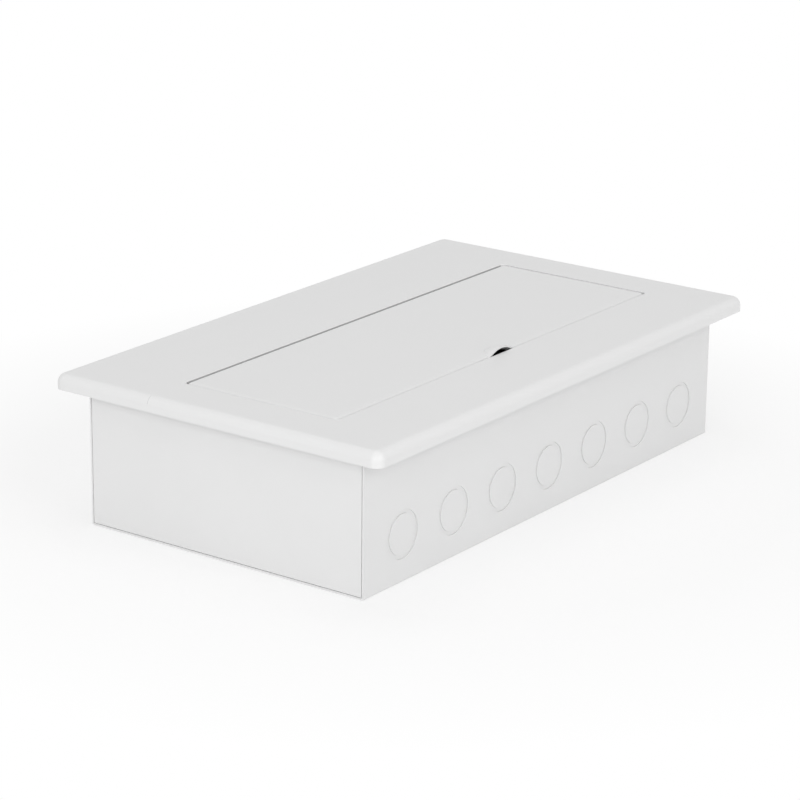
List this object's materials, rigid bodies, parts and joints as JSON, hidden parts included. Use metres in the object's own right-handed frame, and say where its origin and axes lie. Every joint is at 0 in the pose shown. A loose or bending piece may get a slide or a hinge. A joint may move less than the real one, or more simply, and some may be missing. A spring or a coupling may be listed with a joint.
{
  "type": "fiber termination box",
  "caption": "Flush-mounted fibre termination box: steel base, white cover with a hinged door, adapter panel and tilting splice tray inside.",
  "frame": {"origin": "middle of the base box's back face, where it meets the back of its wall recess", "axes": "+X along the long side, +Y across it towards the door's hinge edge, +Z out of the front cover"},
  "size_m": [0.42, 0.254, 0.1037],
  "materials": {
    "painted_steel": "fine-textured white powder coat on sheet steel",
    "cover_plastic": "satin white moulding",
    "door_plastic": "satin white moulding",
    "zinc_steel": "zinc-plated sheet steel",
    "galvanised_steel": "galvanised sheet steel",
    "zinc_fixings": "bright zinc-plated fasteners",
    "bright_steel": "bright drawn steel",
    "ferrite": "dark ferrite magnet",
    "adapter_plastic": "blue moulded plastic",
    "cap_plastic": "translucent white moulded plastic",
    "tray_plastic": "pale grey moulding",
    "clear_plastic": "clear smoke-tinted sheet",
    "comb_rubber": "soft black rubber",
    "rubber": "black rubber",
    "spool_plastic": "natural white moulding",
    "nylon": "natural nylon",
    "brass": "plain brass"
  },
  "bodies": {
    "enclosure": {"adapter_clips": "bright_steel", "adapter_panel": "galvanised_steel", "adapters": "adapter_plastic", "base_box": "painted_steel", "bracket_nuts": "zinc_fixings", "bracket_studs": "zinc_fixings", "cable_saddles": "zinc_steel", "catch_magnets": "ferrite", "cover_bracket_left": "zinc_steel", "cover_bracket_right": "zinc_steel", "cover_nuts": "zinc_fixings", "cover_screws": "zinc_fixings", "door_hinge_pins": "bright_steel", "earth_nut_lower": "brass", "earth_nut_upper": "brass", "earth_stud": "brass", "earth_washer_lower": "brass", "earth_washer_upper": "brass", "end_frame_left": "painted_steel", "end_frame_right": "painted_steel", "end_plate_left": "painted_steel", "end_plate_right": "painted_steel", "front_cover": "cover_plastic", "front_dust_caps": "cap_plastic", "mounting_plate": "galvanised_steel", "panel_screws": "zinc_fixings", "plate_nuts": "zinc_fixings", "plate_studs": "zinc_fixings", "plate_washers": "zinc_fixings", "rear_dust_caps": "cap_plastic", "saddle_screws": "zinc_fixings", "slack_spools": "spool_plastic", "spool_screws": "zinc_fixings", "strength_posts": "brass", "strength_screws": "zinc_fixings", "tie_anchors": "nylon", "tray_bracket_screws": "zinc_fixings", "tray_hinge_bracket": "galvanised_steel", "tray_hinge_pin": "bright_steel", "tray_rests": "rubber"},
    "door_leaf": {"door": "door_plastic", "door_lift": "door_plastic", "catch_plates": "zinc_steel"},
    "splice_cassette": {"splice_tray": "tray_plastic", "splice_combs": "comb_rubber", "tray_lid": "clear_plastic"}
  },
  "joints": [
    {"name": "door_hinge", "type": "hinge", "parent": "enclosure", "child": "door_leaf", "pos_m": [0, 0.04575, 0.097], "axis": [-1, 0, 0], "range_deg": [0, 100]},
    {"name": "splice_tray_hinge", "type": "hinge", "parent": "enclosure", "child": "splice_cassette", "pos_m": [0, 0.08, 0.017], "axis": [-1, 0, 0], "range_deg": [0, 45]}
  ]
}
